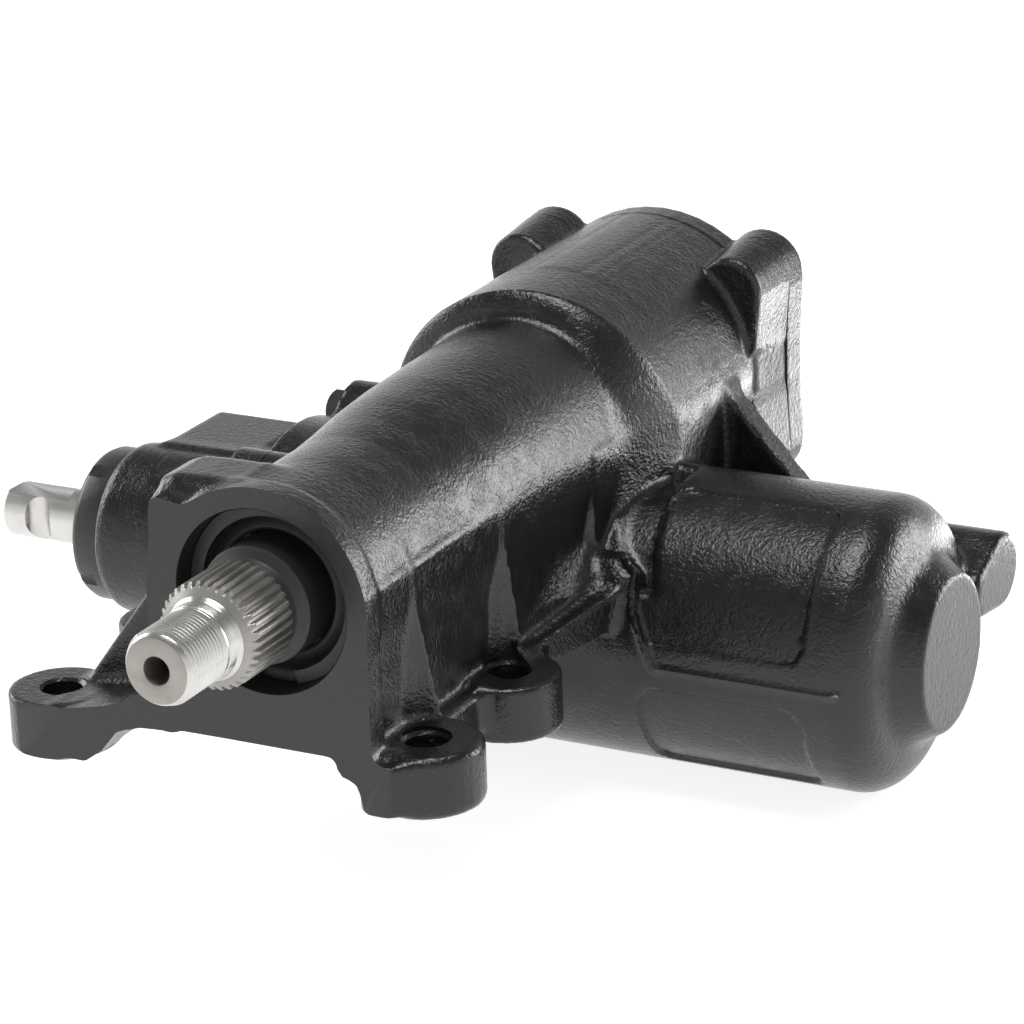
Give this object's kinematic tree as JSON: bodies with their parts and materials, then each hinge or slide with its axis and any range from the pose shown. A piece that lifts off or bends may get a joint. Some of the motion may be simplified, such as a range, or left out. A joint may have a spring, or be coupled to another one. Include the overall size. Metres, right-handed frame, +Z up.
{
  "type": "steering gearbox",
  "caption": "Power steering gearbox: black cast housing with a long output-shaft tube, mounting feet, closed power cylinder, valve housing, side cover, splined output shaft and input shaft.",
  "frame": {"origin": "on the seat of the front left mounting foot, inboard of its bolt hole; the foot seats lie in the plane z = 0", "axes": "+X along the worm from the input shaft to the closed cylinder end, +Y along the output shaft from its threaded end to the side cover, +Z up from the foot seats"},
  "size_m": [0.343, 0.332, 0.1465],
  "materials": {
    "black_paint": "gloss",
    "machined_steel": "machined",
    "bearing_steel": "ground",
    "spring_steel": "satin",
    "coated_bolt": "satin",
    "bronze": "machined",
    "seal_rubber": "matte",
    "ptfe": "matte",
    "ball_steel": "polished",
    "zinc_plate": "satin"
  },
  "bodies": {
    "gearbox": {"main_housing": "black_paint", "side_cover": "black_paint", "valve_housing": "black_paint", "plug_lock_ring": "black_paint", "sector_backup_washer": "machined_steel", "adjuster_screw": "machined_steel", "adjuster_lock_nut": "machined_steel", "bearing_retainer": "machined_steel", "adjuster_plug": "machined_steel", "sector_bearing_front": "bearing_steel", "sector_bearing_rear": "bearing_steel", "worm_bearing_inner": "bearing_steel", "worm_bearing_outer": "bearing_steel", "input_bearing": "bearing_steel", "sector_snap_ring": "spring_steel", "input_snap_ring": "spring_steel", "cover_bolt_a": "coated_bolt", "cover_bolt_b": "coated_bolt", "cover_bolt_c": "coated_bolt", "cover_bolt_d": "coated_bolt", "valve_bolt_a": "coated_bolt", "valve_bolt_b": "coated_bolt", "valve_bolt_c": "coated_bolt", "valve_bolt_d": "coated_bolt", "cover_bushing": "bronze", "pressure_port_seat": "bronze", "return_port_seat": "bronze", "sector_dust_seal": "seal_rubber", "sector_oil_seal": "seal_rubber", "cover_oring": "seal_rubber", "input_oil_seal": "seal_rubber", "input_dust_seal": "seal_rubber"},
    "sector": {"sector_shaft": "machined_steel", "adjuster_retainer": "machined_steel"},
    "piston": {"rack_piston": "bearing_steel", "piston_ring": "ptfe", "return_guide_a": "zinc_plate", "return_guide_b": "zinc_plate", "guide_clamp": "zinc_plate", "clamp_screw_a": "coated_bolt", "clamp_screw_b": "coated_bolt", "ball_01": "ball_steel", "ball_02": "ball_steel", "ball_03": "ball_steel", "ball_04": "ball_steel", "ball_05": "ball_steel", "ball_06": "ball_steel", "ball_07": "ball_steel", "ball_08": "ball_steel", "ball_09": "ball_steel", "ball_10": "ball_steel"},
    "worm": {"worm_shaft": "machined_steel", "torsion_bar": "spring_steel", "valve_sleeve": "machined_steel", "valve_ring_a": "ptfe", "valve_ring_b": "ptfe", "valve_ring_c": "ptfe"},
    "input": {"input_shaft": "machined_steel"}
  },
  "joints": [
    {"name": "piston_slide", "type": "slide", "parent": "gearbox", "child": "piston", "axis": [1, 0, 0], "range_m": [-0.0225, 0.0225]},
    {"name": "sector_turn", "type": "hinge", "parent": "gearbox", "child": "sector", "pos_m": [0.0675, 0.153, 0.0605], "axis": [0, 1, 0], "range_deg": [-43, 43]},
    {"name": "worm_turn", "type": "hinge", "parent": "gearbox", "child": "worm", "pos_m": [0.0675, 0.153, 0.0045], "axis": [1, 0, 0], "range_deg": [-640, 640]},
    {"name": "valve_twist", "type": "hinge", "parent": "worm", "child": "input", "pos_m": [-0.0525, 0.153, 0.0045], "axis": [1, 0, 0], "range_deg": [-4, 4], "stiffness_Nm_per_rad": 80}
  ],
  "couplings": [
    {"joint": "sector_turn", "follows": "piston_slide", "rad_per_m": -33.333},
    {"joint": "worm_turn", "follows": "piston_slide", "rad_per_m": -494.74}
  ]
}
